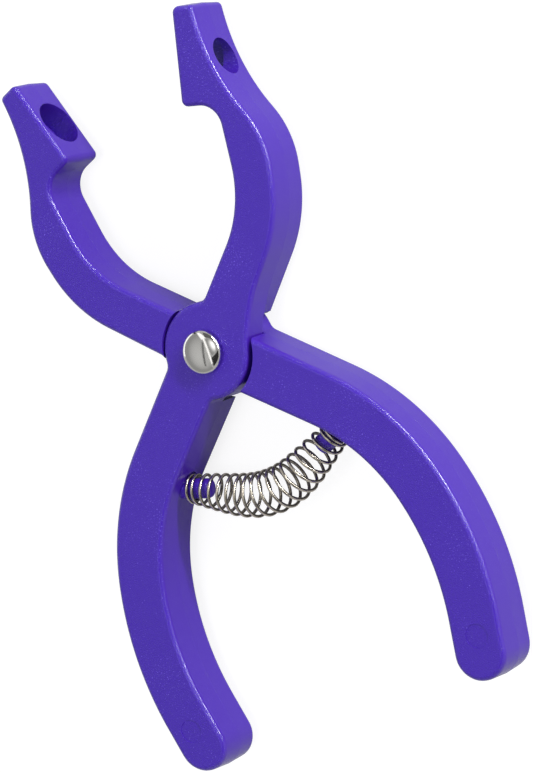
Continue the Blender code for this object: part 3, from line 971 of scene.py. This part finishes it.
coil_line = spring_line()
print("spring line:", len(coil_line), "points, lowest at", in_mm(coil_line[PATH_STEPS + 1]), "mm")

# %% [markdown]
# The end coils lie close, and nearly half a turn of wire more lies flat at each seat. Between
# them the pitch grows a little from the left end to the right one, as it does in the
# photograph. The radius swells from the ends to the middle along half a sine wave.

# %% Winding
SPRING_END_RADIUS = 0.0031
SPRING_MIDDLE_RADIUS = 0.00505
END_CURL_PITCH = 0.0013
SPRING_CURLS = 18
SPRING_STRETCH = 0.06
END_WRAP = 0.45
CURL_POINTS = 32


def distance_along(turn, length):
    # How far along the line the wire has come after some turns
    if turn < 1:
        return max(0.0, turn) * END_CURL_PITCH
    if turn > SPRING_CURLS - 1:
        return length - max(0.0, SPRING_CURLS - turn) * END_CURL_PITCH
    open_length = length - 2 * END_CURL_PITCH
    share = (turn - 1) / (SPRING_CURLS - 2)
    return END_CURL_PITCH + open_length * (share + SPRING_STRETCH * (share**3 - share))


def wire_points(line):
    # Each point of the wire with the line's direction there and the coil's centre
    marks = [0.0]
    for a, b in zip(line, line[1:]):
        marks.append(marks[-1] + (b - a).length)
    length = marks[-1]
    wrap = round(END_WRAP * CURL_POINTS)
    points = []
    index = 1
    for step in range(-wrap, SPRING_CURLS * CURL_POINTS + wrap + 1):
        turn = step / CURL_POINTS
        distance = distance_along(turn, length)
        while index < len(line) - 1 and distance > marks[index]:
            index += 1
        direction = (line[index] - line[index - 1]).normalized()
        share = (distance - marks[index - 1]) / (marks[index] - marks[index - 1])
        centre = line[index - 1].lerp(line[index], share)
        swell = math.sin(math.pi * distance / length)
        radius = SPRING_END_RADIUS + (SPRING_MIDDLE_RADIUS - SPRING_END_RADIUS) * swell
        side = centre + left_of(direction) * radius * math.cos(2 * math.pi * turn)
        spot = Vector((side.x, side.y, radius * math.sin(2 * math.pi * turn))) + PIVOT
        points.append((spot, direction.to_3d(), centre.to_3d() + PIVOT))
    return points


coil_points = wire_points(coil_line)
print("wire:", len(coil_points), "points in", SPRING_CURLS, "turns")

# %% [markdown]
# A real spring is bright on the outside of its coils and dark between them, where the wire mirrors
# more wire. On a pale floor too little of that comes out by itself, so each vertex is told how far
# it looks at the next coil or into the spring, and the colour sinks there. The mask is an
# attribute of the mesh, so it stays with the wire.

# %% Shade between the coils
# Painted shade: the wire's colour sinks to this dark tone where it faces the next coil or the
# inside of the spring
COIL_SHADE = (0.034, 0.029, 0.026, 1)
SIDE_START = 0.64
SIDE_SLOPE = 2.8
INSIDE_SLOPE = 0.55


# Paints shade into the wire's colour by its attribute
def paint_coil_shade(material):
    tree = material.node_tree
    shader = shader_of(material)
    hidden = tree.nodes.new("ShaderNodeAttribute")
    hidden.attribute_name = "painted_coil_shade"
    bright = tuple(shader.inputs["Base Color"].default_value)
    shade = mixture_of(tree, hidden.outputs["Fac"], bright, COIL_SHADE)
    feed(tree, shader, {"Base Color": shade})


def mark_hidden_sides(mesh, points):
    # Painted shade per vertex: 1 where the wire faces the next coil or the inside of the spring, 0
    # on its outside
    tree = KDTree(len(points))
    for index, (spot, direction, centre) in enumerate(points):
        tree.insert(spot, index)
    tree.balance()
    hidden = mesh.attributes.new("painted_coil_shade", "FLOAT", "POINT")
    for vert, value in zip(mesh.vertices, hidden.data):
        spot, index, distance = tree.find(vert.co)
        direction, centre = points[index][1:]
        outward = (vert.co - spot) / WIRE_RADIUS
        sideways = abs(outward.dot(direction))
        inward = -outward.dot((spot - centre).normalized())
        shade = max(0.0, (sideways - SIDE_START) * SIDE_SLOPE, inward * INSIDE_SLOPE)
        value.value = min(1.0, shade)


paint_coil_shade(WIRE)
print("the wire darkens by its attribute painted_coil_shade")

# %% [markdown]
# The wire could be a circle carried along by bmesh, but a curve with a round bevel and filled ends
# does that by itself, and it is made a mesh at once.

# %% Spring
WIRE_BEVEL_STEPS = 4
WIRE_SHARP_ANGLE = 60.0


def wire_mesh(points):
    curve = bpy.data.curves.new("spring_wire", "CURVE")
    curve.dimensions = "3D"
    curve.bevel_depth = WIRE_RADIUS
    curve.bevel_resolution = WIRE_BEVEL_STEPS
    curve.use_fill_caps = True
    spline = curve.splines.new("POLY")
    spline.points.add(len(points) - 1)
    for point, (spot, direction, centre) in zip(spline.points, points):
        point.co = (*spot, 1)
    guide = add_object("spring_guide", curve)
    mesh = evaluated_mesh(guide)
    bpy.data.objects.remove(guide, do_unlink=True)
    return mesh


def add_spring(points):
    shape = bmesh.new()
    shape.from_mesh(wire_mesh(points))
    piece = new_piece("barrel_spring", shape, WIRE, WIRE_SHARP_ANGLE)
    mark_hidden_sides(piece.data, points)
    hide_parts("return_spring")
    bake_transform(piece)
    print("spring:", len(piece.data.polygons), "faces")


add_spring(coil_points)

# %% [markdown]
# The tool lies on a plain pale floor. A white floor under strong lamps would wash out the
# plastic, so the lamps stay low, and the floor that the camera sees glows a little instead: it
# comes out white and still keeps the tool's soft shadow. What the tool mirrors is the same pale
# floor, as its paint looks under the lamps.

# %% Floor
FLOOR_HALF = 3.0
FLOOR_LEVEL = -0.0002
FLOOR_FINISH = {"Roughness": 0.9, "Specular IOR Level": 0.1, "Emission Color": WHITE}
MIRRORED_PAINT = (0.62, 0.62, 0.62, 1)
SEEN_PAINT = (0.26, 0.26, 0.26, 1)
MIRRORED_GLOW = 0.02
SEEN_GLOW = 0.84


def floor_material():
    material = new_material("floor", FLOOR_FINISH)
    tree = material.node_tree
    rays = tree.nodes.new("ShaderNodeLightPath").outputs
    paint = mixture_of(tree, rays["Is Camera Ray"], MIRRORED_PAINT, SEEN_PAINT)
    mirrored = math_of(tree, "MAXIMUM", rays["Is Glossy Ray"], rays["Is Transmission Ray"])
    in_mirror = math_of(tree, "MULTIPLY", mirrored, MIRRORED_GLOW)
    strength = math_of(tree, "MULTIPLY_ADD", rays["Is Camera Ray"], SEEN_GLOW, in_mirror)
    feed(tree, shader_of(material), {"Base Color": paint, "Emission Strength": strength})
    return material


floor_shape = bmesh.new()
bmesh.ops.create_grid(floor_shape, x_segments=1, y_segments=1, size=FLOOR_HALF)
bmesh.ops.translate(floor_shape, verts=floor_shape.verts, vec=(0, 0, FLOOR_LEVEL))
floor = new_piece("floor", floor_shape, floor_material())
print("floor:", FLOOR_HALF * 2, "m wide")

# %% [markdown]
# Two long narrow lamps stand low on the right. They draw the thin bright line along the rounded
# edges, and a wide lamp would smear it over the walls. A square lamp overhead and an even sky
# light the rest. The overhead lamp isn't mirrored, because the cards of the next step give the
# metal its pattern.

# %% Light
SKY_LEVEL = 0.47


def add_area(name, spot, size, power):
    data = bpy.data.lights.new(name, "AREA")
    data.shape = "RECTANGLE"
    data.size, data.size_y = size
    data.energy = power
    lamp = add_object(name, data)
    aim = (PIVOT - Vector(spot)).to_track_quat("-Z", "Y")
    lamp.matrix_world = Matrix.Translation(spot) @ aim.to_matrix().to_4x4()
    print(name, power, "W")
    return lamp


add_area("key_light", spot=(1.040, 0.630, 0.400), size=(0.70, 0.08), power=13.0)
add_area("side_light", spot=(1.230, 0.110, 0.370), size=(0.50, 0.08), power=4.4)
top_light = add_area("top_light", spot=(0.0, 0.02, 1.21), size=(0.46, 0.46), power=4.6)
top_light.visible_glossy = False

world = bpy.data.worlds.new("studio")
world.use_nodes = True
sky = world.node_tree.nodes["Background"]
feed(world.node_tree, sky, {"Color": WHITE, "Strength": SKY_LEVEL})
bpy.context.scene.world = world

# %% [markdown]
# Polished metal shows whatever stands round it, so its look is made by cards, as in a
# photographer's tent: white strips draw the bright lines along the cap, black and grey ones the
# dark patches. The cards are seen in mirror reflections only. Most hang level above the tool,
# and their places are given as they look from the pivot, in parts of the height.

# %% Helpers for cards
CARD_LEVEL = 0.5
UNIT_CARD_HALF = 0.5
WALL_DISTANCE = 2.0


def card_material(name, strength):
    settings = {"Base Color": BLACK, "Specular IOR Level": 0.0}
    settings.update({"Emission Color": WHITE, "Emission Strength": strength})
    return new_material(name, settings)


def add_card(name, material, place):
    # A square card of 1 m, which its place turns and stretches
    shape = bmesh.new()
    matrix = Matrix.Translation(PIVOT) @ place
    bmesh.ops.create_grid(shape, x_segments=1, y_segments=1, size=UNIT_CARD_HALF, matrix=matrix)
    card = new_piece(name, shape, material)
    card.visible_camera = False
    card.visible_diffuse = False
    card.visible_shadow = False
    card.visible_transmission = False
    print("card:", name)


def above(centre):
    return Vector((*centre, 1)) * CARD_LEVEL


def overhead(centre, size, turn=0.0):
    place = Matrix.Translation(above(centre)) @ Matrix.Rotation(math.radians(turn), 4, "Z")
    return place @ Matrix.Diagonal((size[0] * CARD_LEVEL, size[1] * CARD_LEVEL, 1, 1))


def standing(azimuth, width, low, high):
    # A card that stands aside, from one elevation to another, all in degrees
    bottom = WALL_DISTANCE * math.tan(math.radians(low))
    top = WALL_DISTANCE * math.tan(math.radians(high))
    outward = Matrix.Translation((WALL_DISTANCE, 0, (bottom + top) / 2))
    upright = Matrix.Rotation(math.pi / 2, 4, "Y")
    size = Matrix.Diagonal((top - bottom, WALL_DISTANCE * math.radians(width), 1, 1))
    return Matrix.Rotation(math.radians(azimuth), 4, "Z") @ outward @ upright @ size


# %% Flat cards
white_card = card_material("white_card", strength=1.3)
grey_card = card_material("grey_card", strength=0.12)
black_card = card_material("black_card", strength=0.03)
add_card("near_strip", white_card, overhead(centre=(-0.19, -0.05), size=(0.09, 1.15)))
add_card("far_strip", white_card, overhead(centre=(-0.46, 1.35), size=(0.30, 1.75), turn=19.6))
add_card("dark_seam", grey_card, overhead(centre=(-0.445, -0.08), size=(0.08, 0.95), turn=-20.0))
add_card("near_flag", black_card, overhead(centre=(0.52, -0.78), size=(1.32, 1.02)))
add_card("far_flag", grey_card, overhead(centre=(0.78, 1.55), size=(1.70, 1.85)))
add_card("left_wall", white_card, standing(azimuth=150.0, width=50.0, low=-1.0, high=17.0))
add_card("dark_post", black_card, standing(azimuth=119.0, width=7.0, low=0.0, high=30.0))

# %% [markdown]
# Two cards glow softly. One is a round lamp, seen on the right of the cap. The other is a wide
# pale sky just behind the strips, for the left of the cap, and brightest close to them. A
# plain card would show its edges there, so a spherical gradient round a point fades both.

# %% Glowing cards
LAMP_CENTRE = (0.30, 0.17)
SOFT_SKY_CENTRE = (-0.65, -0.05)
JUST_BEHIND = 1.01


def glow_material(name, centre, radius, low, high):
    # Bright in its middle, fading to the level of what is round it
    material = card_material(name, 1.0)
    tree = material.node_tree
    shift = tree.nodes.new("ShaderNodeVectorMath")
    shift.operation = "SUBTRACT"
    feed(tree, shift, {0: place_on_object(tree), 1: PIVOT + above(centre)})
    grow = tree.nodes.new("ShaderNodeVectorMath")
    grow.operation = "SCALE"
    feed(tree, grow, {0: shift.outputs["Vector"], "Scale": 1 / (radius * CARD_LEVEL)})
    ball = tree.nodes.new("ShaderNodeTexGradient")
    ball.gradient_type = "SPHERICAL"
    feed(tree, ball, {"Vector": grow.outputs["Vector"]})
    glow = slope_of(tree, ball.outputs["Fac"], (0.0, 1.0), low, high, "SMOOTHSTEP")
    feed(tree, shader_of(material), {"Emission Strength": glow})
    return material


lamp_glow = glow_material("lamp_glow", LAMP_CENTRE, radius=0.42, low=0.30, high=1.80)
soft_sky = glow_material("soft_sky", SOFT_SKY_CENTRE, radius=1.10, low=0.30, high=0.56)
add_card("lamp_glow", lamp_glow, overhead(centre=LAMP_CENTRE, size=(0.84, 0.76)))
behind = Matrix.Scale(JUST_BEHIND, 4)
add_card("soft_sky", soft_sky, behind @ overhead(centre=(-2.0, -0.1), size=(3.4, 4.0)))

# %% Colour settings
bpy.context.scene.view_settings.view_transform = "Standard"
print("view transform:", bpy.context.scene.view_settings.view_transform)

# %% Update the scene
bpy.context.view_layer.update()
